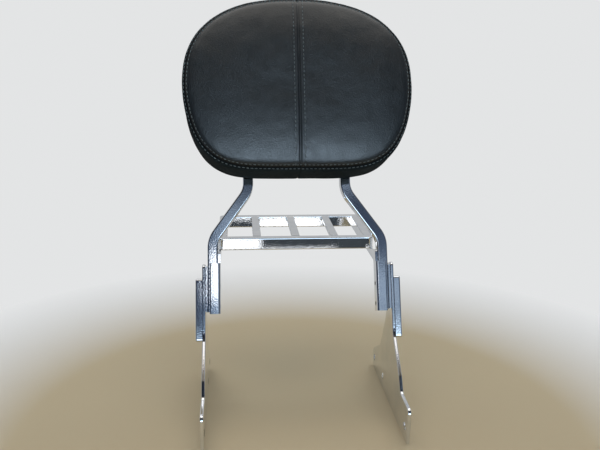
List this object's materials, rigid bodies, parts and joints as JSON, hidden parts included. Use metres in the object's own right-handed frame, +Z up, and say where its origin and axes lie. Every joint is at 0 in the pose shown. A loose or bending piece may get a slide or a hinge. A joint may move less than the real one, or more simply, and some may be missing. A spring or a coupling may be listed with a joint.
{
  "type": "sissy bar",
  "caption": "Chromed motorbike sissy bar: a square-bar hoop that leans back, clamped to flat side plates, with a small luggage rack and a padded, stitched black backrest.",
  "frame": {"origin": "middle of the footprint at the bottom edges of the side plates", "axes": "+X across, to the right in a view from the front; +Y to the rear; +Z up"},
  "size_m": [0.2781, 0.2823, 0.4896],
  "materials": {
    "chrome": "polished",
    "cover": "satin",
    "foam": "matte",
    "board": "matte",
    "zinc": "satin"
  },
  "bodies": {
    "root": {"upright_hoop": "chrome", "clamp_channel_left": "chrome", "clamp_channel_right": "chrome", "spacer_left": "chrome", "spacer_right": "chrome", "side_plate_left": "chrome", "side_plate_right": "chrome", "nut_bar_left": "chrome", "nut_bar_right": "chrome", "rack_frame": "chrome", "rack_slat_left": "chrome", "rack_slat_centre": "chrome", "rack_slat_right": "chrome", "clamp_screws": "chrome", "pad_strap_lower": "chrome", "pad_strap_upper": "chrome", "pad_board": "board", "pad_foam": "foam", "pad_panel_left": "cover", "pad_panel_right": "cover", "pad_boxing": "cover", "pad_tee_nuts": "zinc", "pad_bolts": "zinc", "pad_washers": "zinc"}
  },
  "joints": []
}
